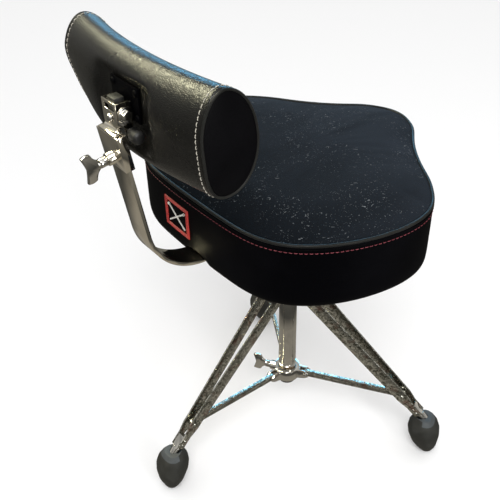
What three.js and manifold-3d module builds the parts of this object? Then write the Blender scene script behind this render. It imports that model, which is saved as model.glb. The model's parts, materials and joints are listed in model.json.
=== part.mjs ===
// Drum throne with a saddle seat, a padded backrest and a double-braced folding tripod.
// Millimetres, +Z up. The sitter faces -Y, the backrest is at +Y, and X = 0 is the plane of symmetry.
import * as THREE from 'three';
import { mergeVertices } from 'three/addons/utils/BufferGeometryUtils.js';
import Module from 'manifold-3d';

const wasm = await Module();
wasm.setup();

// ---- overall layout ----
const COLUMN_Y = -44.155; // the column axis sits forward of the middle of the whole object
const GAP = 0.3; // air between pieces that touch

// ---- tripod ----
const TUBE_R = 14.5;
const TUBE_WALL = 2;
const TUBE_BOTTOM = 84;
const TUBE_TOP = 322;
const LEG_ANGLES = { rear: 90, left: 210, right: 330 }; // degrees around the column
const HINGE = new THREE.Vector2(35, 284); // radius and height of the leg hinge
const LEG_JOINT = new THREE.Vector2(200, 112); // where the stay meets the leg
const STAY_PIVOT = new THREE.Vector2(34, 103); // where the stay meets the sliding collar
const LEG_DIR = LEG_JOINT.clone().sub(HINGE).normalize();
const LEG_TILT = Math.atan2(-LEG_DIR.y, LEG_DIR.x); // downward slope of the leg
const JOINT_S = LEG_JOINT.distanceTo(HINGE); // distance of the stay joint along the leg
const STRAP_W = 21;
const STRAP_T = 2.5;
const STRAP_TOP_HALF = 13; // half the clear space between the two straps at the hinge
const STRAP_FOOT_HALF = 6; // the same near the foot
const NECK_W = 13;
const NECK_START = 262;
const NECK_END = 284;
const FOOT_RADIUS = 250; // distance of each contact patch from the column
const FOOT_H = 74;
const FOOT_LEAN = 10;

// ---- height rod and seat ----
const ROD_R = 11;
const CLAMP_BOTTOM = 303;
const CLAMP_TOP = 333;
const LOCK_DIR = 105; // direction of the height-lock handle, degrees
const BASE_Z = 436; // underside of the seat board
const RIM_Z = 426; // the cover hangs a little below the board
const BOARD_T = 12;
const SEAT_TOP = 528;
const SEAT_EDGE_R = 12;

// ---- backrest bracket ----
const BAR_W = 38;
const BAR_T = 5;
const BAR_R = 90; // outer radius of the bend
const BEND_Y = 160; // where the bend starts behind the column
const LEAN = THREE.MathUtils.degToRad(8.5);
const BAR_RISE = 147; // straight length above the bend
const SLEEVE_S = 104; // bottom of the sleeve above the end of the bend
const SLEEVE_L = 46;
const SCREW_S = SLEEVE_S + 14; // height of its wing screw

// ---- backrest pad ----
const PAD_LENGTH = 294;
const PAD_X = 5; // the pad sits a little to one side
const PAD_BEND_R = 672;
const PAD_BACK_Y = 256;
const PAD_FRONT_Y = 182;
const WANE = 22; // how far the low back of the +X end falls away
const POCKET_Y = 243; // floor of the hollow behind the tilt hinge
const PIVOT_Y = 256; // tilt hinge
const PIVOT_Z = 677;
const PAD_BOTTOM = 609;
const PAD_TOP = 739;

// ---- materials ----
const finish = (color, roughness, metalness) => () =>
  new THREE.MeshStandardMaterial({ color, roughness, metalness });
const chrome = finish(0xd4d2ce, 0.12, 1);
const blackMetal = finish(0x1b1b1c, 0.45, 0.6);
const blackPlastic = finish(0x161616, 0.5, 0);
const rubber = finish(0x3b3b38, 0.85, 0);
const plywood = finish(0x9a7b55, 0.8, 0);
const velour = finish(0x10131a, 0.95, 0);
const vinyl = finish(0x151414, 0.5, 0);

// ---- solids ----
function solidOf(geometry) {
  const bare = geometry.clone();
  bare.deleteAttribute('normal');
  bare.deleteAttribute('uv');
  const merged = mergeVertices(bare, 1e-3);
  return new wasm.Manifold(new wasm.Mesh({
    numProp: 3,
    vertProperties: new Float32Array(merged.attributes.position.array),
    triVerts: new Uint32Array(merged.index.array),
  }));
}

function geometryOf(solid) {
  const { numProp, vertProperties, triVerts } = solid.getMesh();
  const points = new Float32Array(vertProperties.length / numProp * 3);
  for (let i = 0; i < points.length / 3; i += 1) {
    points.set(vertProperties.subarray(i * numProp, i * numProp + 3), i * 3);
  }
  const geometry = new THREE.BufferGeometry();
  geometry.setAttribute('position', new THREE.BufferAttribute(points, 3));
  geometry.setIndex(new THREE.BufferAttribute(new Uint32Array(triVerts), 1));
  geometry.computeVertexNormals();
  return geometry;
}

function join(...geometries) {
  return geometryOf(geometries.map(solidOf).reduce((sum, piece) => sum.add(piece)));
}

function cut(body, ...tools) {
  return geometryOf(tools.map(solidOf).reduce((rest, tool) => rest.subtract(tool), solidOf(body)));
}

function overlap(a, b) {
  return geometryOf(solidOf(a).intersect(solidOf(b)));
}

// A box given by its low and high corners.
function box(low, high) {
  const size = high.map((value, i) => value - low[i]);
  const middle = high.map((value, i) => (value + low[i]) / 2);
  return new THREE.BoxGeometry(...size).translate(...middle);
}

// A round bar between two points.
function bar(from, to, radius, sides = 32, endRadius = radius) {
  const a = new THREE.Vector3(...from);
  const b = new THREE.Vector3(...to);
  const length = a.distanceTo(b);
  const turn = new THREE.Quaternion().setFromUnitVectors(
    new THREE.Vector3(0, 1, 0), b.clone().sub(a).normalize());
  return new THREE.CylinderGeometry(endRadius, radius, length, sides)
    .translate(0, length / 2, 0)
    .applyQuaternion(turn)
    .translate(a.x, a.y, a.z);
}

// A ring around the column between two heights.
function ring(outer, inner, bottom, top, sides = 48) {
  return cut(bar([0, 0, bottom], [0, 0, top], outer, sides),
    bar([0, 0, bottom - 1], [0, 0, top + 1], inner, sides));
}

// A flat outline in (u, v) given thickness, with u, v and the thickness laid on the given axes.
function slab(shape, thickness, uAxis, vAxis, offset = 0, curveSegments = 12) {
  const u = new THREE.Vector3(...uAxis);
  const v = new THREE.Vector3(...vAxis);
  const w = u.clone().cross(v);
  return new THREE.ExtrudeGeometry(shape, { depth: thickness, bevelEnabled: false, curveSegments })
    .translate(0, 0, offset)
    .applyMatrix4(new THREE.Matrix4().makeBasis(u, v, w));
}

const polygon = (points) => new THREE.Shape(points.map(([x, y]) => new THREE.Vector2(x, y)));

// A bar with round ends from (0, 0) to (length, 0).
function stadium(length, radius) {
  const shape = new THREE.Shape();
  shape.absarc(0, 0, radius, Math.PI / 2, Math.PI * 1.5);
  shape.absarc(length, 0, radius, -Math.PI / 2, Math.PI / 2);
  return shape;
}

// The whale-tail outline of a wing screw: the shank is at u = 0, the lobes spread along v.
function wingOutline(reach, halfSpan) {
  const shape = new THREE.Shape();
  shape.moveTo(0, -5);
  shape.quadraticCurveTo(reach * 0.3, -6, reach * 0.45, -halfSpan * 0.9);
  shape.quadraticCurveTo(reach * 0.7, -halfSpan * 1.05, reach, -halfSpan * 0.9);
  shape.quadraticCurveTo(reach * 0.85, -halfSpan * 0.3, reach * 0.82, 0);
  shape.quadraticCurveTo(reach * 0.85, halfSpan * 0.3, reach, halfSpan * 0.9);
  shape.quadraticCurveTo(reach * 0.7, halfSpan * 1.05, reach * 0.45, halfSpan * 0.9);
  shape.quadraticCurveTo(reach * 0.3, 6, 0, 5);
  shape.closePath();
  return shape;
}

// A wing screw along +X from the origin: the threaded shank points to -X.
function wingScrew(shank, reach, halfSpan, thickness) {
  const head = slab(wingOutline(reach, halfSpan), thickness, [1, 0, 0], [0, 0, 1], -thickness / 2, 6);
  return join(head.translate(8, 0, 0), bar([-shank, 0, 0], [12, 0, 0], 3.2, 20),
    bar([1, 0, 0], [9, 0, 0], 6, 24));
}

// ---- scene graph ----
const throne = new THREE.Group();
throne.position.y = COLUMN_Y;

function place(parent, name, geometry, material) {
  const mesh = new THREE.Mesh(geometry, material());
  mesh.name = name;
  parent.add(mesh);
  return mesh;
}

function turned(parent, degrees) {
  const group = new THREE.Group();
  group.rotation.z = THREE.MathUtils.degToRad(degrees);
  parent.add(group);
  return group;
}

// ---- column ----
function addColumn() {
  place(throne, 'base_tube', ring(TUBE_R, TUBE_R - TUBE_WALL, TUBE_BOTTOM, TUBE_TOP), chrome);
  const plug = join(bar([0, 0, TUBE_BOTTOM - 4], [0, 0, TUBE_BOTTOM - GAP], TUBE_R, 48),
    bar([0, 0, TUBE_BOTTOM - 3], [0, 0, TUBE_BOTTOM + 14], TUBE_R - TUBE_WALL - GAP, 48));
  place(throne, 'tube_plug', plug, blackPlastic);
  addUpperCollar();
  addHeightClamp();
}

// The fixed casting whose three lugs carry the legs.
function addUpperCollar() {
  const lugs = Object.values(LEG_ANGLES).map((angle) => {
    const plate = slab(polygon([[18, -14], [HINGE.x, -9], [HINGE.x + 9, -4], [HINGE.x + 9, 4],
      [HINGE.x, 9], [18, 12]]), 2 * (STRAP_TOP_HALF - GAP), [1, 0, 0], [0, 0, 1],
    -(STRAP_TOP_HALF - GAP));
    const hole = bar([HINGE.x, -20, 0], [HINGE.x, 20, 0], 3 + GAP, 20);
    return cut(plate, hole).translate(0, 0, HINGE.y).rotateZ(THREE.MathUtils.degToRad(angle));
  });
  const sleeve = bar([0, 0, HINGE.y - 18], [0, 0, HINGE.y + 15], 21, 48);
  const bore = bar([0, 0, HINGE.y - 30], [0, 0, HINGE.y + 30], TUBE_R + GAP, 48);
  place(throne, 'upper_collar', cut(join(sleeve, ...lugs), bore), chrome);
}

// The split clamp at the top of the tube, and its handle.
function addHeightClamp() {
  const group = turned(throne, LOCK_DIR);
  const body = join(bar([0, 0, CLAMP_BOTTOM], [0, 0, CLAMP_TOP], 21, 48),
    box([10, -11, CLAMP_BOTTOM + 4], [36, 11, CLAMP_TOP - 4]));
  const middle = (CLAMP_BOTTOM + CLAMP_TOP) / 2;
  const clamp = cut(body,
    bar([0, 0, CLAMP_BOTTOM - 1], [0, 0, TUBE_TOP + GAP], TUBE_R + GAP, 48),
    bar([0, 0, TUBE_TOP - 5], [0, 0, CLAMP_TOP + 1], ROD_R + GAP, 48),
    bar([20, 0, middle], [40, 0, middle], 4 + GAP, 24));
  place(group, 'height_clamp', clamp, chrome);
  const handle = join(bar([24, 0, middle], [46, 0, middle], 4, 24),
    bar([40, 0, middle], [60, 0, middle], 8, 24),
    slab(stadium(40, 8), 14, [0, 1, 0], [0, 0, 1], -7).translate(64, -20, middle));
  place(group, 'height_lock_handle', handle, blackPlastic);
}

// ---- legs ----
// In each leg's own group +X points out from the column and Y runs across the leg.
// Moves a piece made along +X, with its width along Z, onto the line of the leg.
const ontoLeg = (geometry) => geometry.rotateY(LEG_TILT).translate(HINGE.x, 0, HINGE.y);

// One flat strap: its side view tapers to the neck, its plan closes in towards the foot.
function strap(side) {
  const plan = polygon([[-12, STRAP_TOP_HALF], [12, STRAP_TOP_HALF], [JOINT_S - 12, STRAP_FOOT_HALF],
    [NECK_END, STRAP_FOOT_HALF], [NECK_END, STRAP_FOOT_HALF + STRAP_T],
    [JOINT_S - 12, STRAP_FOOT_HALF + STRAP_T], [12, STRAP_TOP_HALF + STRAP_T],
    [-12, STRAP_TOP_HALF + STRAP_T]]);
  const sheet = slab(plan, STRAP_W, [1, 0, 0], [0, 1, 0], -STRAP_W / 2);
  const outline = new THREE.Shape();
  outline.absarc(0, 0, STRAP_W / 2, Math.PI / 2, Math.PI * 1.5);
  outline.lineTo(JOINT_S + 4, -STRAP_W / 2);
  outline.lineTo(NECK_START, -NECK_W / 2);
  outline.lineTo(NECK_END, -NECK_W / 2);
  outline.lineTo(NECK_END, NECK_W / 2);
  outline.lineTo(NECK_START, NECK_W / 2);
  outline.lineTo(JOINT_S + 4, STRAP_W / 2);
  outline.closePath();
  const face = slab(outline, 40, [1, 0, 0], [0, 0, 1], -20);
  const outer = STRAP_FOOT_HALF + STRAP_T;
  const stud = (s, radius) => bar([s, outer - 1, 0], [s, outer + 1.5, 0], radius, 16, radius * 0.7);
  const blank = cut(overlap(sheet, face), bar([0, 5, 0], [0, 25, 0], 3 + GAP, 20));
  const piece = join(blank, stud(JOINT_S, 5), stud(NECK_START + 8, 2.8), stud(NECK_END - 6, 2.8));
  const mirrored = side > 0 ? piece : mirrorY(piece);
  return ontoLeg(mirrored);
}

// A mirror image keeps its faces pointing out only when each triangle is also reversed.
function mirrorY(geometry) {
  const copy = geometry.clone().scale(1, -1, 1);
  const index = copy.index.array;
  for (let i = 0; i < index.length; i += 3) {
    [index[i], index[i + 1]] = [index[i + 1], index[i]];
  }
  copy.computeVertexNormals();
  return copy;
}

// A rivet across the leg hinge, with a domed head on each side.
function hingeRivet() {
  const half = STRAP_TOP_HALF + STRAP_T + GAP;
  return join(bar([0, -half - 1, 0], [0, half + 1, 0], 3, 20),
    bar([0, half, 0], [0, half + 2.5, 0], 5.5, 20, 3.5),
    bar([0, -half, 0], [0, -half - 2.5, 0], 5.5, 20, 3.5)).translate(HINGE.x, 0, HINGE.y);
}

// The tongue between the straps and the round peg that the rubber foot is pushed onto.
function footPeg() {
  const half = STRAP_FOOT_HALF - GAP;
  return ontoLeg(join(box([NECK_START + 2, -half, -6], [NECK_END + 3, half, 6]),
    bar([NECK_END + 1, 0, 0], [NECK_END + 28, 0, 0], 7, 24)));
}

// The foot is a leaning bulb with a softly three-sided plan and a small flat underneath.
function rubberFoot() {
  const profile = [[0, 0], [9, 0], [15, 6], [21.5, 18], [25.5, 34], [26, 46], [23.5, 58], [19, 67],
    [14, FOOT_H], [0, FOOT_H]].map(([r, z]) => new THREE.Vector2(r, z));
  const bulb = new THREE.LatheGeometry(profile, 48).rotateX(Math.PI / 2);
  const at = bulb.attributes.position;
  for (let i = 0; i < at.count; i += 1) {
    const turn = Math.atan2(at.getY(i), at.getX(i));
    const swell = 1 + 0.07 * Math.cos(3 * turn + Math.PI);
    const lean = -FOOT_LEAN * at.getZ(i) / FOOT_H;
    at.setXYZ(i, at.getX(i) * swell + lean + FOOT_RADIUS, at.getY(i) * swell, at.getZ(i));
  }
  const mouth = ontoLeg(bar([NECK_END - 12, 0, 0], [NECK_END + 9, 0, 0], 9.5, 24));
  const socket = ontoLeg(bar([NECK_END + 2, 0, 0], [NECK_END + 29, 0, 0], 7 + GAP, 24));
  return cut(bulb, mouth, socket);
}

function addLeg(name, angle) {
  const leg = turned(throne, angle);
  place(leg, `leg_${name}_strap_a`, strap(1), chrome);
  place(leg, `leg_${name}_strap_b`, strap(-1), chrome);
  place(leg, `leg_${name}_hinge_rivet`, hingeRivet(), chrome);
  place(leg, `leg_${name}_foot_peg`, footPeg(), chrome);
  place(leg, `leg_${name}_foot`, rubberFoot(), rubber);
  place(leg, `stay_${name}`, stay(), chrome);
}

// ---- stays and sliding collar ----
const STAY_T = 6;
const FORK_HALF = STAY_T / 2 + GAP + 0.2;
const WING_TURN = THREE.MathUtils.degToRad(30); // direction of the collar's wing screw

function stay() {
  const reach = LEG_JOINT.distanceTo(STAY_PIVOT);
  const tilt = Math.atan2(LEG_JOINT.y - STAY_PIVOT.y, LEG_JOINT.x - STAY_PIVOT.x);
  const blade = slab(stadium(reach, 5.5), STAY_T, [1, 0, 0], [0, 0, 1], -STAY_T / 2);
  const eye = bar([reach, -5, 0], [reach, 5, 0], 3, 16);
  const bore = bar([0, -5, 0], [0, 5, 0], 2.5 + GAP, 16);
  return cut(blade, eye, bore).rotateY(-tilt).translate(STAY_PIVOT.x, 0, STAY_PIVOT.y);
}

function addLowerCollar() {
  const forks = Object.values(LEG_ANGLES).map((angle) => {
    const cheek = slab(polygon([[16, -12], [STAY_PIVOT.x, -7], [STAY_PIVOT.x + 6, -3],
      [STAY_PIVOT.x + 6, 3], [STAY_PIVOT.x, 7], [16, 7]]), 2 * (FORK_HALF + 4), [1, 0, 0], [0, 0, 1],
    -(FORK_HALF + 4));
    const slot = box([TUBE_R + 8.5, -FORK_HALF, -20], [60, FORK_HALF, 20]);
    const pin = bar([STAY_PIVOT.x, -FORK_HALF - 2, 0], [STAY_PIVOT.x, FORK_HALF + 2, 0], 2.5, 16);
    const head = bar([STAY_PIVOT.x, -FORK_HALF - 5.5, 0], [STAY_PIVOT.x, -FORK_HALF - 3, 0], 4, 16);
    return join(cut(cheek, slot), pin, head).translate(0, 0, STAY_PIVOT.y)
      .rotateZ(THREE.MathUtils.degToRad(angle));
  });
  const body = bar([0, 0, 90], [0, 0, 111], 21, 48);
  const boss = bar([10, 0, 101], [29, 0, 101], 8, 24).rotateZ(WING_TURN);
  const tapped = bar([14, 0, 101], [40, 0, 101], 3.2 + GAP, 20).rotateZ(WING_TURN);
  const bore = bar([0, 0, 80], [0, 0, 120], TUBE_R + GAP, 48);
  place(throne, 'lower_collar', cut(join(body, boss, ...forks), bore, tapped), chrome);
  const screw = wingScrew(12, 24, 17, 4).translate(29, 0, 101).rotateZ(WING_TURN);
  place(throne, 'lower_collar_wing_screw', screw, chrome);
}

// ---- height rod ----
function addRod() {
  place(throne, 'height_rod', bar([0, 0, 120], [0, 0, BASE_Z - 9], ROD_R, 48), chrome);
  const block = join(bar([0, 0, CLAMP_TOP + GAP], [0, 0, CLAMP_TOP + 18], 18, 48),
    box([10, -9, CLAMP_TOP + 2], [26, 9, CLAMP_TOP + 16]));
  const bore = bar([0, 0, CLAMP_TOP - 1], [0, 0, CLAMP_TOP + 20], ROD_R + 0.1, 48);
  const tapped = bar([14, 0, CLAMP_TOP + 9], [30, 0, CLAMP_TOP + 9], 3 + GAP, 20);
  place(throne, 'memory_lock', cut(block, bore, tapped), chrome);
  const bolt = join(bar([15, 0, CLAMP_TOP + 9], [28, 0, CLAMP_TOP + 9], 3, 20),
    bar([26 + GAP, 0, CLAMP_TOP + 9], [31, 0, CLAMP_TOP + 9], 5, 20),
    box([30, -3, CLAMP_TOP + 6], [37, 3, CLAMP_TOP + 12]));
  place(throne, 'memory_lock_bolt', bolt, chrome);
}

// ---- seat ----
// Half outline of the saddle from the middle of the nose to the middle of the back.
const SEAT_HALF = [[0, -223], [48, -203], [82, -166], [124, -131], [172, -98], [212, -54], [221, -8],
  [214, 42], [199, 84], [176, 122], [147, 149], [110, 164], [56, 169], [0, 170]];

function seatOutline(inset = 0) {
  const left = SEAT_HALF.slice(1, -1).reverse().map(([x, y]) => [-x, y]);
  const knots = [...SEAT_HALF, ...left].map(([x, y]) => new THREE.Vector3(x, y, 0));
  const curve = new THREE.CatmullRomCurve3(knots, true, 'centripetal');
  const points = curve.getPoints(96).slice(0, -1);
  return new THREE.Shape(points.map((point) => {
    const reach = Math.hypot(point.x, point.y);
    return new THREE.Vector2(point.x, point.y).multiplyScalar((reach - inset) / reach);
  }));
}

function addSeat() {
  const board = slab(seatOutline(16), BOARD_T, [1, 0, 0], [0, 1, 0], BASE_Z);
  place(throne, 'seat_board', board, plywood);
  const foam = new THREE.ExtrudeGeometry(seatOutline(), {
    depth: SEAT_TOP - RIM_Z - 2 * SEAT_EDGE_R,
    bevelEnabled: true,
    bevelThickness: SEAT_EDGE_R,
    bevelSize: SEAT_EDGE_R,
    bevelOffset: -SEAT_EDGE_R,
    bevelSegments: 4,
  }).translate(0, 0, RIM_Z + SEAT_EDGE_R);
  const recess = slab(seatOutline(16 - GAP), BASE_Z + BOARD_T + GAP - RIM_Z + 5, [1, 0, 0], [0, 1, 0],
    RIM_Z - 5);
  const notch = box([-BAR_W / 2 - 2, 120, RIM_Z - 5], [BAR_W / 2 + 2, 190, BASE_Z + 3]);
  place(throne, 'seat_cushion', cut(foam, recess, notch), velour);
  addSeatMount();
}

// The black casting under the board that grips the rod.
function addSeatMount() {
  const plateTop = BASE_Z - GAP;
  const plate = slab(polygon([[-52, -60], [52, -60], [60, -48], [60, 34], [46, 50], [-46, 50], [-60, 34],
    [-60, -48]]), 5, [1, 0, 0], [0, 1, 0], plateTop - 5);
  const ribs = [0, 90].map((turn) => box([-46, -3, plateTop - 18], [46, 3, plateTop - 4])
    .rotateZ(THREE.MathUtils.degToRad(turn)));
  const boss = bar([0, 0, BASE_Z - 58], [0, 0, plateTop - 2], 19, 48);
  const bore = bar([0, 0, BASE_Z - 60], [0, 0, BASE_Z - 9 + GAP], ROD_R + GAP, 48);
  const lug = box([-9, -34, BASE_Z - 50], [9, -10, BASE_Z - 26]);
  const tapped = bar([0, -14, BASE_Z - 38], [0, -40, BASE_Z - 38], 3.2 + GAP, 20);
  place(throne, 'seat_mount', cut(join(plate, ...ribs, boss, lug), bore, tapped), blackMetal);
  const screw = wingScrew(18, 22, 16, 4).rotateZ(-Math.PI / 2).translate(0, -34 - GAP, BASE_Z - 38);
  place(throne, 'seat_mount_wing_screw', screw, chrome);
  const corners = { front_left: [-46, -46], front_right: [46, -46], back_left: [-42, 34],
    back_right: [42, 34] };
  Object.entries(corners).forEach(([name, [x, y]]) => {
    const top = plateTop - 5 - GAP;
    place(throne, `mount_screw_${name}`, bar([x, y, top], [x, y, top - 3.5], 6, 16, 3.5), blackMetal);
  });
}

// ---- backrest bracket ----
const bendCentre = new THREE.Vector2(BEND_Y, BASE_Z - GAP - BAR_T + BAR_R);
const leanDir = new THREE.Vector2(Math.sin(LEAN), Math.cos(LEAN));
const bendEnd = new THREE.Vector2(Math.cos(LEAN), -Math.sin(LEAN)).multiplyScalar(BAR_R - BAR_T / 2)
  .add(bendCentre);

// Side view of the J-shaped bar, in Y and Z.
function addBar() {
  const outer = BAR_R;
  const inner = BAR_R - BAR_T;
  const shape = new THREE.Shape();
  shape.moveTo(62, bendCentre.y - outer);
  shape.lineTo(BEND_Y, bendCentre.y - outer);
  shape.absarc(bendCentre.x, bendCentre.y, outer, -Math.PI / 2, -LEAN, false);
  const tip = (radius) => [bendCentre.x + Math.cos(LEAN) * radius + leanDir.x * BAR_RISE,
    bendCentre.y - Math.sin(LEAN) * radius + leanDir.y * BAR_RISE];
  shape.lineTo(...tip(outer));
  shape.lineTo(...tip(inner));
  shape.absarc(bendCentre.x, bendCentre.y, inner, -LEAN, -Math.PI / 2, true);
  shape.lineTo(62, bendCentre.y - inner);
  shape.closePath();
  const blank = slab(shape, BAR_W, [0, 1, 0], [0, 0, 1], -BAR_W / 2, 16);
  place(throne, 'bracket_bar', blank, chrome);
  [78, 118].forEach((y, i) => {
    const top = BASE_Z - 2 * GAP - BAR_T;
    place(throne, `bracket_bolt_${i + 1}`, bar([0, y, top], [0, y, top - 5], 7, 6, 6), chrome);
  });
}

// Pieces of the bracket are drawn with u across X, v out behind the bar and w up the bar.
function onBar(geometry) {
  const out = new THREE.Vector3(0, Math.cos(LEAN), -Math.sin(LEAN));
  const rise = new THREE.Vector3(0, leanDir.x, leanDir.y);
  const basis = new THREE.Matrix4().makeBasis(new THREE.Vector3(1, 0, 0), out, rise);
  return geometry.applyMatrix4(basis).translate(0, bendEnd.x, bendEnd.y);
}

function addSleeve() {
  const half = BAR_W / 2 + 0.5;
  const deep = BAR_T / 2 + 0.5;
  const wall = 3;
  const shell = cut(box([-half - wall, -deep - wall, SLEEVE_S], [half + wall, deep + wall, SLEEVE_S + SLEEVE_L]),
    box([-half, -deep, SLEEVE_S - 1], [half, deep, SLEEVE_S + SLEEVE_L + 1]));
  const boss = bar([0, deep + 1, SCREW_S], [0, deep + 12, SCREW_S], 8, 24);
  const through = bar([0, deep - 0.1, SCREW_S], [0, deep + 20, SCREW_S], 3.2 + GAP, 20);
  place(throne, 'backrest_sleeve', onBar(cut(join(shell, boss), through)), chrome);
  const screw = wingScrew(12, 22, 19, 4).rotateZ(Math.PI / 2).translate(0, deep + 12 + GAP, SCREW_S);
  place(throne, 'sleeve_wing_screw', onBar(screw), chrome);
}

// A point behind the bar and up it, as Y and Z.
const offBar = (out, rise) => [bendEnd.x + out * Math.cos(LEAN) + rise * Math.sin(LEAN),
  bendEnd.y - out * Math.sin(LEAN) + rise * Math.cos(LEAN)];

const ARM_BACK = PIVOT_Y + 11; // rear face of the upright arm
const ARM_TOP = PIVOT_Z + 15;
const KNOB_Y = PIVOT_Y - 3;
const KNOB_Z = PIVOT_Z - 22;
const hingeHole = () => bar([-40, PIVOT_Y, PIVOT_Z], [40, PIVOT_Y, PIVOT_Z], 4 + GAP, 24);

// The channel stands on a cap over the sleeve, widens upwards and holds the tilt hinge.
function addTiltArm() {
  const top = SLEEVE_S + SLEEVE_L + GAP;
  const cap = onBar(box([-17, -5.5, top], [17, 6, top + 3]));
  const side = polygon([offBar(4, top + 1), [ARM_BACK, PIVOT_Z - 15], [ARM_BACK, ARM_TOP], [ARM_BACK - 3, ARM_TOP],
    [ARM_BACK - 3, PIVOT_Z - 16], offBar(-1, top + 1)]);
  const front = polygon([[-9, 640], [9, 640], [15, KNOB_Z + 14], [15, 720], [-15, 720], [-15, KNOB_Z + 14]]);
  const web = overlap(slab(side, 60, [0, 1, 0], [0, 0, 1], -30),
    slab(front, 120, [1, 0, 0], [0, 0, 1], -320));
  const cheek = polygon([[PIVOT_Y - 7, PIVOT_Z - 30], [PIVOT_Y + 1, PIVOT_Z - 30], [PIVOT_Y + 2, PIVOT_Z - 15],
    [ARM_BACK - 1, PIVOT_Z - 12], [ARM_BACK - 1, ARM_TOP], [PIVOT_Y - 6, ARM_TOP],
    [PIVOT_Y - 9, PIVOT_Z + 5], [PIVOT_Y - 9, PIVOT_Z - 10]]);
  const sides = [-15, 12].map((x) => slab(cheek, 3, [0, 1, 0], [0, 0, 1]).translate(x, 0, 0));
  const knobHole = bar([-20, KNOB_Y, KNOB_Z], [-5, KNOB_Y, KNOB_Z], 2.5 + GAP, 20);
  const boltZ = PIVOT_Z - 5;
  const boltHole = bar([0, ARM_BACK - 5, boltZ], [0, ARM_BACK + 5, boltZ], 2.6 + GAP, 20);
  const slot = box([-10.5, ARM_BACK - 5, PIVOT_Z + 4], [10.5, ARM_BACK + 5, ARM_TOP - 4]);
  place(throne, 'tilt_arm', cut(join(cap, web, ...sides), hingeHole(), knobHole, boltHole, slot), chrome);
  const shank = bar([0, ARM_BACK - 2.9, boltZ], [0, ARM_BACK + 1, boltZ], 2.6, 20);
  const head = bar([0, ARM_BACK + GAP, boltZ], [0, ARM_BACK + 3, boltZ], 5.5, 24, 4);
  place(throne, 'arm_bolt', join(shank, head), chrome);
  const block = cut(box([-7.9, PIVOT_Y - 5, PIVOT_Z - 11], [7.9, ARM_BACK - 3 - GAP, ARM_TOP + 3]), hingeHole());
  place(throne, 'tilt_block', block, blackPlastic);
}

function addTiltBolt() {
  const pin = (from, to, radius, sides = 32, endRadius = radius) =>
    bar([-from, PIVOT_Y, PIVOT_Z], [-to, PIVOT_Y, PIVOT_Z], radius, sides, endRadius);
  place(throne, 'tilt_bolt', join(pin(-24, 17, 4), pin(15 + GAP, 17, 9.5), pin(16, 22, 7.5, 6)), chrome);
  place(throne, 'tilt_nut', cut(pin(-22, -15 - GAP, 7.5, 6), pin(-30, 0, 4.1)), chrome);
  const grip = (from, to, radius, endRadius = radius) =>
    bar([-from, KNOB_Y, KNOB_Z], [-to, KNOB_Y, KNOB_Z], radius, 32, endRadius);
  const knob = join(grip(9, 22, 2.5), grip(19.6, 34, 8), grip(34, 37, 8, 5.5));
  place(throne, 'tilt_knob', knob, blackPlastic);
}

// ---- backrest pad ----
// Section of the pad at the middle, in Y and Z.
const PAD_SECTION = [[PAD_BACK_Y, 694], [255, 668], [251, 639], [242, 616], [223, PAD_BOTTOM], [203, 616],
  [188, 636], [PAD_FRONT_Y, 661], [185, 691], [195, 716], [209, 732], [229, PAD_TOP], [247, 729]];

// Curves the pad made straight along X, so that its ends come forward. Low on its +X end the back falls away.
function bend(geometry) {
  const at = geometry.attributes.position;
  for (let i = 0; i < at.count; i += 1) {
    const along = Math.max(0, (at.getX(i) - 15) / 130);
    const down = Math.max(0, 1 - (at.getZ(i) - PAD_BOTTOM) / 95);
    const share = (at.getY(i) - PAD_FRONT_Y) / (PAD_BACK_Y - PAD_FRONT_Y);
    at.setY(i, at.getY(i) - at.getX(i) ** 2 / (2 * PAD_BEND_R) - WANE * share * down * along ** 1.5);
  }
  return geometry;
}

function addPad() {
  const knots = PAD_SECTION.map(([y, z]) => new THREE.Vector3(y, z, 0));
  const curve = new THREE.CatmullRomCurve3(knots, true, 'centripetal');
  const outline = new THREE.Shape(curve.getPoints(40).slice(0, -1).map(({ x, y }) => new THREE.Vector2(x, y)));
  const edge = 10;
  const straight = new THREE.ExtrudeGeometry(outline, {
    depth: PAD_LENGTH - 2 * edge,
    steps: 14,
    bevelEnabled: true,
    bevelThickness: edge,
    bevelSize: edge,
    bevelOffset: -edge,
    bevelSegments: 3,
  }).translate(0, 0, edge - PAD_LENGTH / 2);
  const sideways = new THREE.Matrix4().makeBasis(new THREE.Vector3(0, 1, 0), new THREE.Vector3(0, 0, 1),
    new THREE.Vector3(1, 0, 0));
  const solid = bend(straight.applyMatrix4(sideways)).translate(PAD_X, 0, 0);
  const pocket = box([-44, POCKET_Y, PIVOT_Z - 40], [44, PAD_BACK_Y + 20, PIVOT_Z + 35]);
  place(throne, 'backrest_pad', cut(solid, pocket), vinyl);
  addPadPlate();
}

// The steel plate on the back of the pad, with two lugs that turn on the tilt bolt.
function addPadPlate() {
  const face = POCKET_Y + GAP;
  const plate = box([-28, face, PIVOT_Z - 11], [28, face + 2, PIVOT_Z + 31]);
  const lug = polygon([[face + 1, PIVOT_Z - 10], [PIVOT_Y + 3, PIVOT_Z - 7], [PIVOT_Y + 7, PIVOT_Z - 2],
    [PIVOT_Y + 7, PIVOT_Z + 3], [PIVOT_Y + 2, PIVOT_Z + 8], [face + 1, PIVOT_Z + 12]]);
  const lugs = [-11.6, 8.2].map((x) => slab(lug, 3.4, [0, 1, 0], [0, 0, 1]).translate(x, 0, 0));
  place(throne, 'pad_plate', cut(join(plate, ...lugs), hingeHole()), blackMetal);
  [[-23, -5], [23, -5], [-23, 25], [23, 25]].forEach(([x, dz], i) => {
    const z = PIVOT_Z + dz;
    const from = face + 2 + GAP;
    place(throne, `pad_screw_${i + 1}`, bar([x, from, z], [x, from + 2, z], 4.5, 16, 3), blackMetal);
  });
}

addColumn();
Object.entries(LEG_ANGLES).forEach(([name, angle]) => addLeg(name, angle));
addLowerCollar();
addRod();
addSeat();
addBar();
addSleeve();
addTiltArm();
addTiltBolt();
addPad();

export default throne;
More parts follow.
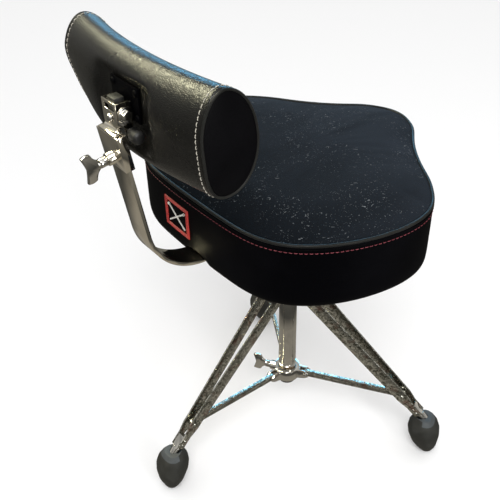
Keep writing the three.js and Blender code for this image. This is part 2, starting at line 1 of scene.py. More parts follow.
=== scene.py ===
"""Looks of the drum throne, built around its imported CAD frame. Metres, +Z up, the sitter faces -Y."""
import json
import math

import bpy
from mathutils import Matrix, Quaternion, Vector
from mathutils.bvhtree import BVHTree


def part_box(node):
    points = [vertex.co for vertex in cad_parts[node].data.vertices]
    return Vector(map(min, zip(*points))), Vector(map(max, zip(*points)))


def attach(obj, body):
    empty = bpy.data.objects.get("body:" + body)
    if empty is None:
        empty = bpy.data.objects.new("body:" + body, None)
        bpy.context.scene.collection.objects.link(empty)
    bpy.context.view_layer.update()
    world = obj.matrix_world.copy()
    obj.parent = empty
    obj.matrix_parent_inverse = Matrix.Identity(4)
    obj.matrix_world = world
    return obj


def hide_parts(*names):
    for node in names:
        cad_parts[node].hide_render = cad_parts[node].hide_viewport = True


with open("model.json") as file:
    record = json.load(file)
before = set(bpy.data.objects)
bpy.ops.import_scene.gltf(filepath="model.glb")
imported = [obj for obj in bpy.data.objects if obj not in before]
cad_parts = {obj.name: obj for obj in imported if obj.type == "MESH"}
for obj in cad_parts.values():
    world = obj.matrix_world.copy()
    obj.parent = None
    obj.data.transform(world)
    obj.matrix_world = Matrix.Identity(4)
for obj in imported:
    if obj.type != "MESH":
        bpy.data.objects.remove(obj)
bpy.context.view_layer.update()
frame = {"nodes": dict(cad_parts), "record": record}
NODES = frame["nodes"]
MM = 0.001

TUBE_LOW, TUBE_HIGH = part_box("base_tube")
COLUMN = Vector((0, (TUBE_LOW.y + TUBE_HIGH.y) / 2, 0))
SEAT_LOW, SEAT_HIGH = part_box("seat_cushion")
BOARD_LOW, BOARD_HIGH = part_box("seat_board")
PAD_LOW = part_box("backrest_pad")[0]


# ---- camera, floor and light ----
def add_camera():
    azimuth, elevation, roll = math.radians(231.912), math.radians(37.098), math.radians(-1.359)
    back = Vector((math.sin(azimuth) * math.cos(elevation),
                   -math.cos(azimuth) * math.cos(elevation), math.sin(elevation)))
    data = bpy.data.cameras.new("camera")
    data.lens = 54.75
    data.sensor_width = 36
    camera = bpy.data.objects.new("camera", data)
    bpy.context.scene.collection.objects.link(camera)
    camera.rotation_mode = "QUATERNION"
    camera.location = COLUMN + Vector((0.046, 0.0392, 0.3502)) + back * 1.1747
    camera.rotation_quaternion = (-back).to_track_quat("-Z", "Y") @ Quaternion((0, 0, 1), roll)
    bpy.context.scene.camera = camera


def add_light(name, place, target, width, height, power, colour=(1, 1, 1)):
    data = bpy.data.lights.new(name, "AREA")
    data.shape = "RECTANGLE"
    data.size, data.size_y = width, height
    data.energy = power
    data.color = colour
    lamp = bpy.data.objects.new(name, data)
    bpy.context.scene.collection.objects.link(lamp)
    lamp.location = Vector(place)
    lamp.rotation_mode = "QUATERNION"
    lamp.rotation_quaternion = (Vector(target) - Vector(place)).to_track_quat("-Z", "Y")
    return lamp


def add_glint(*shape):
    """A lamp seen only in reflections, like a window across the room."""
    add_light(*shape).visible_diffuse = False


def add_world():
    """Reflections see a warm grey room with a bright ceiling; everything else sees soft white."""
    world = bpy.data.worlds.new("studio")
    bpy.context.scene.world = world
    world.use_nodes = True
    tree = world.node_tree
    tree.nodes.clear()
    link = tree.links.new
    direction = tree.nodes.new("ShaderNodeTexCoord")
    split = tree.nodes.new("ShaderNodeSeparateXYZ")
    spread = tree.nodes.new("ShaderNodeMapRange")
    spread.inputs["From Min"].default_value = -1
    room = tree.nodes.new("ShaderNodeValToRGB")
    stops = [(0.0, (0.34, 0.32, 0.27)), (0.16, (0.30, 0.28, 0.24)), (0.20, (0.06, 0.06, 0.055)),
             (0.40, (0.24, 0.23, 0.20)), (0.49, (0.05, 0.05, 0.045)), (0.53, (0.75, 0.74, 0.70)),
             (0.75, (0.30, 0.30, 0.29)), (1.0, (1.0, 1.0, 0.98))]
    while len(room.color_ramp.elements) < len(stops):
        room.color_ramp.elements.new(0.5)
    for element, (place, colour) in zip(room.color_ramp.elements, stops):
        element.position = place
        element.color = (*colour, 1)
    seen = tree.nodes.new("ShaderNodeLightPath")
    reflected = tree.nodes.new("ShaderNodeBackground")
    soft = tree.nodes.new("ShaderNodeBackground")
    soft.inputs["Color"].default_value = (1.0, 1.0, 1.0, 1)
    soft.inputs["Strength"].default_value = 1.0
    mix = tree.nodes.new("ShaderNodeMixShader")
    out = tree.nodes.new("ShaderNodeOutputWorld")
    link(direction.outputs["Generated"], split.inputs[0])
    link(split.outputs["Z"], spread.inputs["Value"])
    link(spread.outputs[0], room.inputs["Fac"])
    link(room.outputs["Color"], reflected.inputs["Color"])
    link(seen.outputs["Is Glossy Ray"], mix.inputs["Fac"])
    link(soft.outputs[0], mix.inputs[1])
    link(reflected.outputs[0], mix.inputs[2])
    link(mix.outputs[0], out.inputs["Surface"])


def add_floor():
    mesh = bpy.data.meshes.new("floor")
    mesh.from_pydata([(-6, -6, 0), (6, -6, 0), (6, 6, 0), (-6, 6, 0)], [], [(0, 1, 2, 3)])
    floor = bpy.data.objects.new("floor", mesh)
    bpy.context.scene.collection.objects.link(floor)
    paint = bpy.data.materials.new("floor_paint")
    paint.use_nodes = True
    shader = paint.node_tree.nodes["Principled BSDF"]
    shader.inputs["Base Color"].default_value = (0.84, 0.84, 0.84, 1)
    shader.inputs["Roughness"].default_value = 0.9
    shader.inputs["Specular IOR Level"].default_value = 0
    mesh.materials.append(paint)
    floor.visible_glossy = False


# ---- node materials ----
class Paint:
    """A node material, with short helpers for the textures it needs."""

    def __init__(self, name, colour, roughness, metallic=0.0):
        self.material = bpy.data.materials.new(name)
        self.material.use_nodes = True
        self.tree = self.material.node_tree
        self.shader = self.tree.nodes["Principled BSDF"]
        self.set("Base Color", (*colour, 1))
        self.set("Roughness", roughness)
        self.set("Metallic", metallic)
        self.where = self.node("ShaderNodeTexCoord").outputs["Object"]

    def set(self, socket, value):
        self.shader.inputs[socket].default_value = value

    def node(self, kind, **values):
        made = self.tree.nodes.new(kind)
        for name, value in values.items():
            setattr(made, name, value)
        return made

    def link(self, a, b):
        self.tree.links.new(a, b)

    def noise(self, scale, detail=2.0, distortion=0.0, stretch=(1, 1, 1)):
        squeeze = self.node("ShaderNodeMapping")
        squeeze.inputs["Scale"].default_value = stretch
        texture = self.node("ShaderNodeTexNoise")
        texture.inputs["Scale"].default_value = scale
        texture.inputs["Detail"].default_value = detail
        texture.inputs["Distortion"].default_value = distortion
        self.link(self.where, squeeze.inputs[0])
        self.link(squeeze.outputs[0], texture.inputs["Vector"])
        return texture.outputs["Fac"]

    def cells(self, scale, feature="F1"):
        texture = self.node("ShaderNodeTexVoronoi", feature=feature)
        texture.inputs["Scale"].default_value = scale
        self.link(self.where, texture.inputs["Vector"])
        return texture.outputs["Distance"]

    def ramp(self, value, low, high, first=0.0, last=1.0):
        spread = self.node("ShaderNodeMapRange", clamp=True)
        for name, number in zip(("From Min", "From Max", "To Min", "To Max"), (low, high, first, last)):
            spread.inputs[name].default_value = number
        self.link(value, spread.inputs["Value"])
        return spread.outputs[0]

    def times(self, a, b):
        product = self.node("ShaderNodeMath", operation="MULTIPLY")
        self.link(a, product.inputs[0])
        if isinstance(b, (int, float)):
            product.inputs[1].default_value = b
        else:
            self.link(b, product.inputs[1])
        return product.outputs[0]

    def plus(self, a, b):
        total = self.node("ShaderNodeMath", operation="ADD")
        self.link(a, total.inputs[0])
        self.link(b, total.inputs[1])
        return total.outputs[0]

    def blend(self, share, first, second):
        """Mixes two colours; each is a tuple or another blend's output."""
        mixer = self.node("ShaderNodeMix", data_type="RGBA")
        self.link(share, mixer.inputs["Factor"])
        for slot, colour in ((6, first), (7, second)):
            if isinstance(colour, tuple):
                mixer.inputs[slot].default_value = (*colour, 1)
            else:
                self.link(colour, mixer.inputs[slot])
        return mixer.outputs[2]

    def colour(self, value):
        self.link(value, self.shader.inputs["Base Color"])

    def rough(self, value):
        self.link(value, self.shader.inputs["Roughness"])

    def bump(self, height, distance, strength=1.0):
        relief = self.node("ShaderNodeBump")
        relief.inputs["Distance"].default_value = distance
        relief.inputs["Strength"].default_value = strength
        self.link(height, relief.inputs["Height"])
        self.link(relief.outputs["Normal"], self.shader.inputs["Normal"])


def chrome_paint(name, colour=(0.64, 0.62, 0.58), worn=0.35, ripple=0.05):
    """Polished plating with faint smears, dust and pinprick pits."""
    paint = Paint(name, colour, 0.1, 1.0)
    smear = paint.ramp(paint.noise(38, 5, 0.6), 0.42, 0.72)
    dust = paint.ramp(paint.cells(420), 0.0, 0.16, 1, 0)
    soil = tuple(c * (1 - worn) for c in colour)
    plate = paint.blend(smear, colour, tuple(c * 0.86 for c in colour))
    paint.colour(paint.blend(paint.times(dust, smear), plate, soil))
    paint.rough(paint.ramp(smear, 0, 1, 0.05, 0.2))
    paint.bump(paint.noise(24, 2), ripple * MM)
    return paint.material


def strap_paint():
    """Stamped strap steel: plating over a mottled pressed face."""
    paint = Paint("strap_chrome", (0.62, 0.61, 0.58), 0.16, 1.0)
    mottle = paint.ramp(paint.noise(150, 5, 1.6), 0.42, 0.60)
    grime = paint.ramp(paint.noise(60, 3), 0.56, 0.70)
    base = paint.blend(mottle, (0.60, 0.59, 0.54), (0.15, 0.15, 0.12))
    paint.colour(paint.blend(paint.times(grime, 0.6), base, (0.26, 0.12, 0.09)))
    paint.rough(paint.ramp(mottle, 0, 1, 0.10, 0.30))
    paint.bump(mottle, 0.25 * MM, 0.6)
    return paint.material


def vinyl_paint(name, colour, roughness, grain, depth, highlight):
    """Vinyl with pebbled leather grain and softly worn patches."""
    paint = Paint(name, colour, roughness)
    cells = paint.cells(grain, "DISTANCE_TO_EDGE")
    pebble = paint.ramp(cells, 0.0, 0.30)
    fine = paint.noise(grain * 2.2, 3)
    patch = paint.noise(9, 3)
    light = tuple(min(1, c * 1.9 + 0.001) for c in colour)
    worn = paint.blend(paint.ramp(patch, 0.35, 0.75), colour, light)
    paint.colour(paint.blend(paint.ramp(pebble, 0, 1, 0.35, 0), worn, tuple(c * 0.4 for c in colour)))
    paint.rough(paint.ramp(patch, 0.3, 0.7, roughness - 0.06, roughness + 0.08))
    paint.bump(paint.plus(pebble, paint.times(fine, 0.5)), depth * MM)
    paint.set("Specular IOR Level", highlight)
    return paint.material


def velour_paint():
    """Black brushed pile with pale lint; its blue-grey towards the nose is painted sheen, broken into
    lighter and darker brushed strokes.
    """
    paint = Paint("velour", (0.004, 0.005, 0.009), 0.95)
    split = paint.node("ShaderNodeSeparateXYZ")
    paint.link(paint.where, split.inputs[0])
    # Painted sheen: the colour lightens to blue-grey towards the nose and stays near black at the back.
    forward = paint.ramp(split.outputs["Y"], 0.12, -0.20)
    stroke = paint.ramp(paint.noise(9, 4, 1.4, (1, 0.55, 1)), 0.34, 0.70)
    painted_sheen = paint.times(forward, paint.ramp(stroke, 0, 1, 0.45, 1.0))
    pile = paint.noise(900, 2)
    base = paint.blend(painted_sheen, (0.0012, 0.0020, 0.0032), (0.0150, 0.0190, 0.0260))
    # Pile tips lighten more where the painted sheen is.
    lit_pile_tips = paint.times(paint.ramp(pile, 0.35, 0.8), paint.ramp(painted_sheen, 0, 1, 0.08, 0.53))
    base = paint.blend(lit_pile_tips, base, (0.0120, 0.0155, 0.0220))
    patch = paint.ramp(paint.noise(13, 2), 0.40, 0.56)
    keep = paint.ramp(paint.noise(70, 1), 0.42, 0.62)
    specks = paint.times(paint.times(paint.ramp(paint.cells(150), 0.04, 0.10, 1, 0), patch), keep)
    dust = paint.times(paint.ramp(paint.cells(310), 0.06, 0.14, 1, 0), patch)
    thread = paint.times(paint.ramp(paint.noise(120, 1, 3.5, (1, 0.8, 1)), 0.70, 0.74), patch)
    fluff = paint.plus(paint.times(specks, 0.7), paint.times(thread, 0.45))
    lint = paint.plus(fluff, paint.times(dust, 0.35))
    paint.colour(paint.blend(lint, base, (0.27, 0.29, 0.30)))
    paint.bump(paint.plus(pile, paint.times(stroke, 1.5)), 0.5 * MM, 0.8)
    paint.set("Sheen Weight", 0.05)
    paint.set("Sheen Roughness", 0.4)
    paint.set("Sheen Tint", (0.6, 0.75, 1.0, 1))
    paint.set("Specular IOR Level", 0.06)
    return paint.material


def rubber_paint(name, colour):
    """Moulded rubber, faintly pitted and dusty."""
    paint = Paint(name, colour, 0.75)
    dust = paint.ramp(paint.noise(55, 5, 0.4), 0.45, 0.75)
    dusty = tuple(min(1, c * 2.0 + 0.01) for c in colour)
    paint.colour(paint.blend(paint.times(dust, 0.55), colour, dusty))
    paint.rough(paint.ramp(dust, 0, 1, 0.62, 0.85))
    paint.bump(paint.plus(paint.noise(700, 3), dust), 0.15 * MM)
    return paint.material


def plastic_paint(name, colour, roughness):
    """Moulded or powder-coated black with a fine texture."""
    paint = Paint(name, colour, roughness)
    scuff = paint.ramp(paint.noise(70, 4, 1.0), 0.52, 0.78)
    paint.colour(paint.blend(paint.times(scuff, 0.5), colour, tuple(c + 0.03 for c in colour)))
    paint.rough(paint.ramp(scuff, 0, 1, roughness, roughness + 0.2))
    paint.bump(paint.noise(1100, 2), 0.08 * MM)
    return paint.material


def plywood_paint():
    """Raw board: long grain with darker rings."""
    paint = Paint("plywood", (0.36, 0.25, 0.14), 0.8)
    grain = paint.noise(60, 5, 1.5, (0.12, 1, 1))
    rings = paint.noise(14, 2, 3.0, (0.3, 1, 1))
    base = paint.blend(paint.ramp(grain, 0.35, 0.7), (0.42, 0.30, 0.18), (0.27, 0.17, 0.09))
    paint.colour(paint.blend(paint.ramp(rings, 0.55, 0.6, 0, 0.5), base, (0.20, 0.12, 0.06)))
    paint.bump(grain, 0.3 * MM)
    return paint.material


def thread_paint(name, colour):
    """Twisted sewing thread."""
    paint = Paint(name, colour, 0.6)
    ply = paint.noise(1300, 1)
    paint.colour(paint.blend(paint.ramp(ply, 0.35, 0.65), colour, tuple(c * 0.45 for c in colour)))
    paint.bump(ply, 0.2 * MM)
    return paint.material


PAINTS = {
    "chrome": chrome_paint("chrome"),
    "bar": chrome_paint("bar_chrome", (0.80, 0.75, 0.65), 0.3, 0.03),
    "strap": strap_paint(),
    "velour": velour_paint(),
    "side": vinyl_paint("side_vinyl", (0.0008, 0.0008, 0.0014), 0.5, 620, 0.05, 0.03),
    "pad": vinyl_paint("pad_vinyl", (0.0022, 0.0020, 0.0016), 0.27, 480, 0.14, 0.36),
    "end": vinyl_paint("end_vinyl", (0.0012, 0.0011, 0.0016), 0.42, 620, 0.06, 0.06),
    "piping": vinyl_paint("piping_vinyl", (0.010, 0.010, 0.009), 0.36, 700, 0.04, 0.12),
    "red": thread_paint("red_thread", (0.25, 0.035, 0.050)),
    "cream": thread_paint("cream_thread", (0.55, 0.51, 0.43)),
    "emblem": thread_paint("emblem_thread", (0.55, 0.025, 0.020)),
    "pale": thread_paint("pale_thread", (0.80, 0.78, 0.72)),
    "rubber": rubber_paint("foot_rubber", (0.012, 0.012, 0.009)),
    # Pale bluish colour for the mouths of the feet: a painted highlight.
    "rim": rubber_paint("rim_highlight_rubber", (0.040, 0.046, 0.048)),
    "black_metal": plastic_paint("powder_coat", (0.012, 0.012, 0.012), 0.4),
    "black_plastic": plastic_paint("black_plastic", (0.003, 0.003, 0.003), 0.5),
    "plywood": plywood_paint(),
}


# ---- mesh helpers ----
def piece(name, points, faces, paint, body):
    """A smooth-shaded mesh that rides on a body."""
    mesh = bpy.data.meshes.new(name)
    mesh.from_pydata([tuple(p) for p in points], [], faces)
    mesh.materials.append(PAINTS[paint])
    mesh.shade_smooth()
    made = bpy.data.objects.new(name, mesh)
    bpy.context.scene.collection.objects.link(made)
    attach(made, body)
    return made


def ring_faces(rings, count):
    """Quads between stacked rings of equal count."""
    faces = []
    for i in range(rings - 1):
        for j in range(count):
            k = (j + 1) % count
            faces.append((i * count + j, i * count + k, (i + 1) * count + k, (i + 1) * count + j))
    return faces


def even_ring(points, count):
    """Resamples a closed polyline at equal steps and rounds off its facets."""
    loop = [Vector(p) for p in points]
    lengths = [0.0]
    for i, p in enumerate(loop):
        lengths.append(lengths[-1] + (loop[(i + 1) % len(loop)] - p).length)
    out, k = [], 0
    for n in range(count):
        want = lengths[-1] * n / count
        while lengths[k + 1] < want:
            k += 1
        share = (want - lengths[k]) / (lengths[k + 1] - lengths[k])
        out.append(loop[k].lerp(loop[(k + 1) % len(loop)], share))
    for _ in range(6):
        out = [out[i] * 0.5 + (out[i - 1] + out[(i + 1) % count]) * 0.25 for i in range(count)]
    return out


def tube(points, outs, radius, closed, sides=8):
    """Points and faces of a round tube along a path; outs are directions away from the surface under it."""
    count = len(points)
    coords, faces = [], []
    for i, p in enumerate(points):
        ahead = points[(i + 1) % count] if closed or i < count - 1 else p
        behind = points[i - 1] if closed or i > 0 else p
        along = (ahead - behind).normalized()
        side = along.cross(outs[i]).normalized()
        up = side.cross(along)
        for s in range(sides):
            angle = 2 * math.pi * s / sides
            coords.append(p + (up * math.cos(angle) + side * math.sin(angle)) * radius)
    for i in range(count if closed else count - 1):
        for s in range(sides):
            t = (s + 1) % sides
            j = (i + 1) % count
            faces.append((i * sides + s, i * sides + t, j * sides + t, j * sides + s))
    if not closed:
        faces.append(tuple(range(sides)))
        faces.append(tuple(reversed(range((count - 1) * sides, count * sides))))
    return coords, faces


def stitches(name, path, outs, long, gap, radius, paint, body):
    """A row of thread dashes round a closed path, each arched out of the surface and sunk at its ends."""
    total = [0.0]
    loop = path + [path[0]]
    normals = outs + [outs[0]]
    for a, b in zip(loop, loop[1:]):
        total.append(total[-1] + (b - a).length)
    many = max(1, round(total[-1] / (long + gap)))
    step = total[-1] / many
    coords, faces = [], []
    k = 0

    def at(distance):
        nonlocal k
        while k > 0 and total[k] > distance:
            k -= 1
        while k < len(total) - 2 and total[k + 1] < distance:
            k += 1
        share = (distance - total[k]) / max(1e-9, total[k + 1] - total[k])
        return loop[k].lerp(loop[k + 1], share), normals[k].lerp(normals[k + 1], share).normalized()

    for n in range(many):
        row, dirs = [], []
        for m in range(5):
            spot, out = at(n * step + (long * m / 4))
            lift = radius * (1.0 if 0 < m < 4 else -0.6)
            row.append(spot + out * lift)
            dirs.append(out)
        c, f = tube(row, dirs, radius, False, 6)
        faces += [tuple(i + len(coords) for i in face) for face in f]
        coords += c
    return piece(name, coords, faces, paint, body)


def surface_of(obj):
    """A search tree over an object's final surface."""
    bpy.context.view_layer.update()
    graph = bpy.context.evaluated_depsgraph_get()
    shape = obj.evaluated_get(graph)
    mesh = shape.to_mesh()
    tree = BVHTree.FromPolygons([obj.matrix_world @ v.co for v in mesh.vertices],
                                [tuple(p.vertices) for p in mesh.polygons])
    shape.to_mesh_clear()
    return tree


def onto(tree, start, aim):
    """Where a ray meets the surface, and the way out of it there."""
    spot, out, _, _ = tree.ray_cast(start, aim.normalized())
    if spot is None:
        spot, out, _, _ = tree.find_nearest(start)
    if out.dot(aim) > 0:
        out = -out
    return spot, out


def puff(obj, group, pressure, cap):
    """Swells a closed mesh as cloth over foam; held points stay, and none moves past the cap."""
    start = [v.co.copy() for v in obj.data.vertices]
    cloth = obj.modifiers.new("foam", "CLOTH")
    cloth.settings.quality = 5
    cloth.settings.mass = 0.3
    cloth.settings.tension_stiffness = 30
    cloth.settings.compression_stiffness = 30
    cloth.settings.shear_stiffness = 15
    cloth.settings.bending_stiffness = 2
    cloth.settings.use_pressure = True
    cloth.settings.uniform_pressure_force = pressure
    cloth.settings.vertex_group_mass = group
    cloth.settings.effector_weights.gravity = 0
    scene = bpy.context.scene
    for number in range(1, 21):
        scene.frame_set(number)
    shape = obj.evaluated_get(bpy.context.evaluated_depsgraph_get())
    moved = [v.co.copy() for v in shape.data.vertices]
    obj.modifiers.remove(cloth)
    for vertex, old, new in zip(obj.data.vertices, start, moved):
        shift = new - old
        if shift.length > cap:
            shift *= cap / shift.length
        vertex.co = old + shift
    scene.frame_set(1)


def relax(obj, held, passes):
    """Evens out small ripples, leaving the held points alone."""
    around = [[] for _ in obj.data.vertices]
    for edge in obj.data.edges:
        a, b = edge.vertices
        around[a].append(b)
        around[b].append(a)
    for _ in range(passes):
        now = [v.co.copy() for v in obj.data.vertices]
        for i, vertex in enumerate(obj.data.vertices):
            if i not in held and around[i]:
                mean = sum((now[j] for j in around[i]), Vector()) / len(around[i])
                vertex.co = now[i].lerp(mean, 0.5)


def subdivide(obj, levels=1):
    smooth = obj.modifiers.new("smooth", "SUBSURF")
    smooth.levels = smooth.render_levels = levels


# ---- seat ----
SEAT_EDGE = 12 * MM  # down from the top to the CAD cushion's widest outline
RIM = 15 * MM  # how far the cover wraps under the board
SLOT_HALF = 22 * MM  # the cover is cut away for the bracket bar at the back
AROUND = 220  # points round the seat
UNDER_RINGS = 8  # first rings of the cover, tacked under the board
WELT_DROP = 9.5 * MM  # from the CAD top down to the piping
WELT_TILT = 3 * MM  # rise of the piping from the middle to the back


def seat_outline():
    """The widest outline of the CAD cushion, as an even ring."""
    level = SEAT_HIGH.z - SEAT_EDGE
    spots = {(round(v.co.x, 5), round(v.co.y, 5)) for v in NODES["seat_cushion"].data.vertices
             if abs(v.co.z - level) < 0.2 * MM}
    centre = SEAT_CENTRE
    ring = sorted(spots, key=lambda p: math.atan2(p[1] - centre.y, p[0]))
    return even_ring([(x, y, 0) for x, y in ring], AROUND)


SEAT_CENTRE = Vector((0, (SEAT_LOW.y + SEAT_HIGH.y) / 2 + 0.01, 0))
OUTLINE = seat_outline()


def inset(point, distance, z):
    """An outline point moved in towards the middle of the seat, at a height."""
    inward = SEAT_CENTRE - point
    return point + inward * (distance / inward.length) + Vector((0, 0, z))


def welt_height(point):
    return SEAT_HIGH.z - WELT_DROP + WELT_TILT * (point.y - SEAT_CENTRE.y) / 0.2


def rim_height(point):
    """Lowest height the cover may reach at an outline point."""
    over_bar = abs(point.x) < SLOT_HALF and point.y > SEAT_CENTRE.y
    return BOARD_LOW.z + 1.5 * MM if over_bar else SEAT_LOW.z


def crown(x, y, share):
    """Height of the top above the welt: padded edges, with hollows for the sitter and thighs."""
    y -= COLUMN.y
    edge = 9 * MM * (1 - (1 - min(1, share / 0.22)) ** 2)
    hollow = 7 * MM * math.exp(-((x / 0.12) ** 2 + ((y - 0.05) / 0.075) ** 2))
    thighs = 5 * MM * math.exp(-(((abs(x) - 0.085) / 0.05) ** 2 + ((y + 0.085) / 0.07) ** 2))
    return edge - (hollow + thighs) * min(1, share * 3)


def add_seat():
    rings = []
    bottom = BOARD_HIGH.z + 0.6 * MM
    below = [(0.75, bottom), (0.35, bottom)]
    for share, z in below:
        rings.append([inset(p, (SEAT_CENTRE - p).length * share, z) for p in OUTLINE])
    wall = [(RIM + 4 * MM, bottom), (RIM, bottom - 1 * MM),
            (RIM, SEAT_LOW.z + 2 * MM), (RIM - 1.5 * MM, SEAT_LOW.z),
            (8 * MM, SEAT_LOW.z), (4 * MM, SEAT_LOW.z + 0.6 * MM), (1.6 * MM, SEAT_LOW.z + 3 * MM),
            (0.7 * MM, SEAT_LOW.z + 7 * MM), (0.4 * MM, SEAT_LOW.z + 16 * MM)]
    for distance, z in wall:
        rings.append([inset(p, distance, max(z, rim_height(p))) for p in OUTLINE])
    start = SEAT_LOW.z + 16 * MM
    climb = 14
    for n in range(1, climb + 1):
        share = n / climb
        rings.append([inset(p, 0.4 * MM * (1 - share) + 0.6 * MM * share,
                            start + (welt_height(p) - start) * share) for p in OUTLINE])
    welt = len(rings) - 1
    across = 30
    for n in range(1, across + 1):
        share = (n / across) ** 1.15
        ring = []
        for p in OUTLINE:
            q = inset(p, (SEAT_CENTRE - p).length * 0.97 * share, 0)
            q.z = welt_height(p) * (1 - share) + welt_height(SEAT_CENTRE) * share + crown(q.x, q.y, share)
            ring.append(q)
        rings.append(ring)
    points = [p for ring in rings for p in ring]
    faces = ring_faces(len(rings), AROUND)
    points.append(SEAT_CENTRE + Vector((0, 0, bottom)))
    points.append(Vector((0, SEAT_CENTRE.y, welt_height(SEAT_CENTRE) + crown(0, SEAT_CENTRE.y, 1))))
    low, high = len(points) - 2, len(points) - 1
    last = (len(rings) - 1) * AROUND
    for j in range(AROUND):
        k = (j + 1) % AROUND
        faces.append((low, k, j))
        faces.append((high, last + j, last + k))
    seat = piece("seat_cover", points, faces, "side", "seat")
    seat.data.materials.append(PAINTS["velour"])
    for face in seat.data.polygons:
        if min(face.vertices) // AROUND >= welt:
            face.material_index = 1
    held = set(range(UNDER_RINGS * AROUND)) | set(range(welt * AROUND, (welt + 1) * AROUND)) | {low}
    group = seat.vertex_groups.new(name="held")
    group.add(list(held), 1.0, "REPLACE")
    puff(seat, "held", 3.0, 7 * MM)
    relax(seat, held, 4)
    subdivide(seat)
    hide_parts("seat_cushion")
    dress_seat(seat)


def round_path(tree, drop, out=0.0):
    """A path round the seat wall a given drop below the welt, and the way out at each point."""
    path, outs = [], []
    for p in OUTLINE:
        away = (p - SEAT_CENTRE).normalized()
        z = welt_height(p) - drop
        spot, normal = onto(tree, p + away * 0.06 + Vector((0, 0, z)), -away)
        path.append(spot + normal * out)
        outs.append(normal)
    return path, outs


def dress_seat(seat):
    tree = surface_of(seat)
    path, outs = round_path(tree, -0.4 * MM, 0.3 * MM)
    coords, faces = tube(path, outs, 2.3 * MM, True, 12)
    piece("seat_piping", coords, faces, "piping", "seat")
    path, outs = round_path(tree, 3.4 * MM, 0.1 * MM)
    coords, faces = tube(path, outs, 0.7 * MM, True, 6)
    piece("seat_piping_seam", coords, faces, "side", "seat")
    path, outs = round_path(tree, 8.5 * MM)
    stitches("seat_stitches", path, outs, 4.0 * MM, 2.2 * MM, 0.42 * MM, "red", "seat")
    add_emblem(tree)


def add_emblem(tree):
    """A plain embroidered frame round two crossed drumsticks, on the back wall."""
    middle = Vector((0.037, 0, 476 * MM))

    def lay(points, radius, closed, paint, name):
        path, outs = [], []
        for u, v in points:
            start = Vector((middle.x - u, SEAT_HIGH.y + 0.05, middle.z + v))
            spot, normal = onto(tree, start, Vector((0, -1, 0)))
            path.append(spot + normal * radius * 0.35)
            outs.append(normal)
        coords, faces = tube(path, outs, radius, closed, 8)
        piece(name, coords, faces, paint, "seat")

    corners = [(-27, 22), (27, 22), (27, -22), (-27, -22)]  # across and up, in mm
    border = []
    for (u, v), (u_next, v_next) in zip(corners, corners[1:] + corners[:1]):
        for n in range(12):
            share = n / 12
            border.append(((u + (u_next - u) * share) * MM, (v + (v_next - v) * share) * MM))
    for n, scale in enumerate((1.0, 0.88)):
        lay([(u * scale, v * scale) for u, v in border], 1.3 * MM, True, "emblem", f"emblem_border_{n + 1}")
    for side, name in ((-1, "left"), (1, "right")):
        stick = [(side * (-18 + 36 * t / 11) * MM, (-13 + 26 * t / 11) * MM) for t in range(12)]
        lay(stick, 1.2 * MM, False, "pale", f"emblem_stick_{name}")
        tip = [(side * (17 + 0.8 * t) * MM, (12 + 0.6 * t) * MM) for t in range(4)]
        lay(tip, 1.9 * MM, False, "pale", f"emblem_tip_{name}")


# ---- backrest pad ----
PAD_BEND = 0.672  # radius of the pad's curve across the back
PAD_X = 5 * MM  # the pad sits a little to one side
PAD_SEAM = 141.5 * MM  # where the end panels are sewn on
PAD_DOME = 5.5 * MM  # how far an end panel bulges
PAD_FRONT = COLUMN.y + 182 * MM
WANE = 22 * MM  # how far the low back of the +X end falls away
SECTION = [(74, 86), (73, 57), (70, 28), (61, 7), (42, 0), (21, 7), (6, 27), (0, 52), (3, 82), (13, 107),
           (27, 123), (46, 130), (64, 115)]  # depth and height of the pad's section, in mm
HEART = Vector((38 * MM, 65 * MM))  # middle of the section
PLATE_LOW, PLATE_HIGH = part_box("pad_plate")


def closed_spline(knots, count):
    """A smooth closed curve through the knots."""
    out = []
    many = len(knots)
    for n in range(count):
        t = many * n / count
        i = int(t)
        t -= i
        a, b, c, d = (Vector(knots[(i + k - 1) % many]) for k in range(4))
        square = 2 * a - 5 * b + 4 * c - d
        cube = 3 * b - a - 3 * c + d
        out.append(0.5 * ((2 * b) + (c - a) * t + square * t * t + cube * t ** 3))
    return out


def bent(x, y, z):
    """A point of the straight pad moved onto its curve; low on its +X end the back falls away."""
    along = max(0, (x - 0.015) / 0.13)
    down = max(0, 1 - (z - PAD_LOW.z) / 0.095)
    share = (y - PAD_FRONT) / (74 * MM)
    return Vector((x + PAD_X, y - x * x / (2 * PAD_BEND) - WANE * share * down * along ** 1.5, z))


def fade(value, full, none):
    """One up to full, easing to zero at none."""
    share = min(1, max(0, (value - none) / (full - none)))
    return share * share * (3 - 2 * share)


def dimple(point):
    """How far a point of the back is drawn in around the tilt bracket, from 0 to 1."""
    low, high = PLATE_LOW.z - 24 * MM, PLATE_HIGH.z + 1 * MM
    middle, half = (low + high) / 2, (high - low) / 2
    return fade(abs(point.x), 41 * MM, 60 * MM) * fade(abs(point.z - middle), half, half + 15 * MM)


def pad_ring(section, x, scale):
    """One ring of the pad at a place along it, shrunk about the middle of the section."""
    floor = PLATE_LOW.y - 0.8 * MM
    ring = []
    for p in section:
        q = HEART + (p * MM - HEART) * scale
        spot = bent(x, PAD_FRONT + q.x, PAD_LOW.z + q.y)
        spot.y -= dimple(spot) * max(0, spot.y - floor)
        ring.append(spot)
    return ring


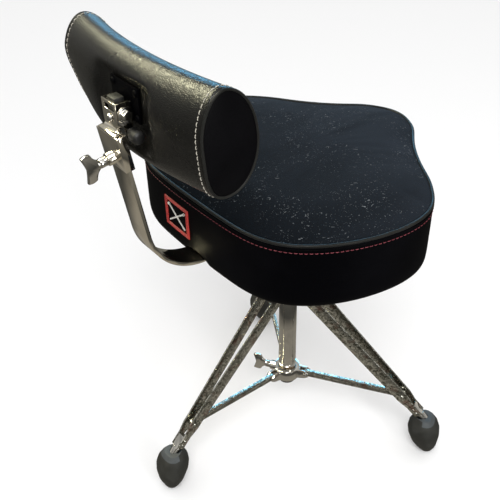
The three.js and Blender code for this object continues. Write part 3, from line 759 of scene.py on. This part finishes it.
def add_pad():
    section = even_ring([(p.x, p.y, 0) for p in closed_spline(SECTION, 200)], 96)
    section = [Vector((p.x, p.y)) for p in section]
    count = len(section)
    stations = []
    dome = 9
    for n in range(1, dome):
        share = n / dome
        stations.append((-PAD_SEAM - PAD_DOME * math.cos(share * math.pi / 2) ** 0.8, share ** 0.8))
    stations.append((-PAD_SEAM, 1.0))
    body = 46
    for n in range(1, body):
        stations.append((-PAD_SEAM + 2 * PAD_SEAM * n / body, 1.0))
    stations += [(-x, s) for x, s in reversed(stations[:dome])]
    rings = [pad_ring(section, x, s) for x, s in stations]
    points = [p for ring in rings for p in ring]
    faces = [tuple(reversed(f)) for f in ring_faces(len(rings), count)]
    for side, at in ((-1, 0), (1, (len(rings) - 1) * count)):
        points.append(bent(side * (PAD_SEAM + PAD_DOME), PAD_FRONT + HEART.x, PAD_LOW.z + HEART.y))
        tip = len(points) - 1
        for j in range(count):
            k = (j + 1) % count
            faces.append((tip, at + j, at + k) if side < 0 else (tip, at + k, at + j))
    pad = piece("backrest_cover", points, faces, "pad", "backrest")
    pad.data.materials.append(PAINTS["end"])
    left, right = (dome - 1) * count, (dome - 1 + body) * count
    for face in pad.data.polygons:
        if min(face.vertices) < left or max(face.vertices) >= right + count:
            face.material_index = 1
    held = set(range(left, left + count)) | set(range(right, right + count))
    held |= {i for i, p in enumerate(points) if p.y > PAD_FRONT + 40 * MM and dimple(p) > 0.02}
    group = pad.vertex_groups.new(name="held")
    group.add(list(held), 1.0, "REPLACE")
    puff(pad, "held", 2.0, 4 * MM)
    relax(pad, held, 9)
    subdivide(pad)
    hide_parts("backrest_pad")
    dress_pad(pad, section)


def dress_pad(pad, section):
    tree = surface_of(pad)
    for side, name in ((-1, "left"), (1, "right")):
        def round_end(x, out):
            path, outs = [], []
            for p in section:
                centre = bent(x, PAD_FRONT + HEART.x, PAD_LOW.z + HEART.y)
                away = pad_ring([p], x, 1.6)[0]
                spot, normal = onto(tree, away, centre - away)
                path.append(spot + normal * out)
                outs.append(normal)
            return path, outs
        path, outs = round_end(side * PAD_SEAM, 0.6 * MM)
        coords, faces = tube(path, outs, 1.7 * MM, True, 10)
        piece(f"backrest_piping_{name}", coords, faces, "piping", "backrest")
        path, outs = round_end(side * (PAD_SEAM - 7 * MM), 0)
        stitches(f"backrest_stitches_{name}", path, outs, 4.4 * MM, 2.0 * MM, 0.5 * MM,
                 "cream", "backrest")


# ---- the carried-over metal ----
def paint_mouth_highlight(name, node):
    """The top faces round the mouth of a foot get a pale, bluish painted highlight."""
    node.data.materials.append(PAINTS["rim"])
    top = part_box(name)[1].z
    for face in node.data.polygons:
        if face.normal.z > 0.55 and face.center.z > top - 6 * MM:
            face.material_index = 1


def finish_metal():
    record = {row["node"]: row["material_slot"] for row in frame["record"]["subparts"]}
    for name, node in NODES.items():
        slot = record[name]
        paint = slot if slot in PAINTS else "chrome"
        if "strap" in name or name.startswith("stay"):
            paint = "strap"
        if name in ("bracket_bar", "backrest_sleeve", "tilt_arm"):
            paint = "bar"
        if name.startswith("pad_"):
            paint = "side"
        node.data.materials.clear()
        node.data.materials.append(PAINTS[paint])
        weld = node.modifiers.new("weld", "WELD")
        weld.merge_threshold = 0.01 * MM
        edge = node.modifiers.new("edge", "BEVEL")
        edge.width = 0.45 * MM
        edge.segments = 2
        edge.limit_method = "ANGLE"
        edge.angle_limit = math.radians(32)
        node.data.shade_smooth()
        # The mouth of each foot gets a painted highlight.
        if name.endswith("foot"):
            paint_mouth_highlight(name, node)


add_camera()
add_world()
add_floor()
finish_metal()
add_seat()
add_pad()
add_light("key", (-1.2, 1.0, 2.4), (0, 0, 0.4), 1.0, 1.0, 34)
add_glint("shoulder", (1.25, 0.85, 2.3), (0, 0.2, 0.7), 2.0, 0.4, 105, (1.0, 0.96, 0.66))
add_glint("rim", (1.35, -1.5, 1.35), (0, 0.18, 0.72), 1.6, 0.5, 22, (0.16, 0.62, 1.0))
add_light("strip", (-1.9, 0.1, 0.9), (0, 0, 0.3), 0.25, 1.6, 10)
bpy.context.scene.view_settings.view_transform = "Standard"
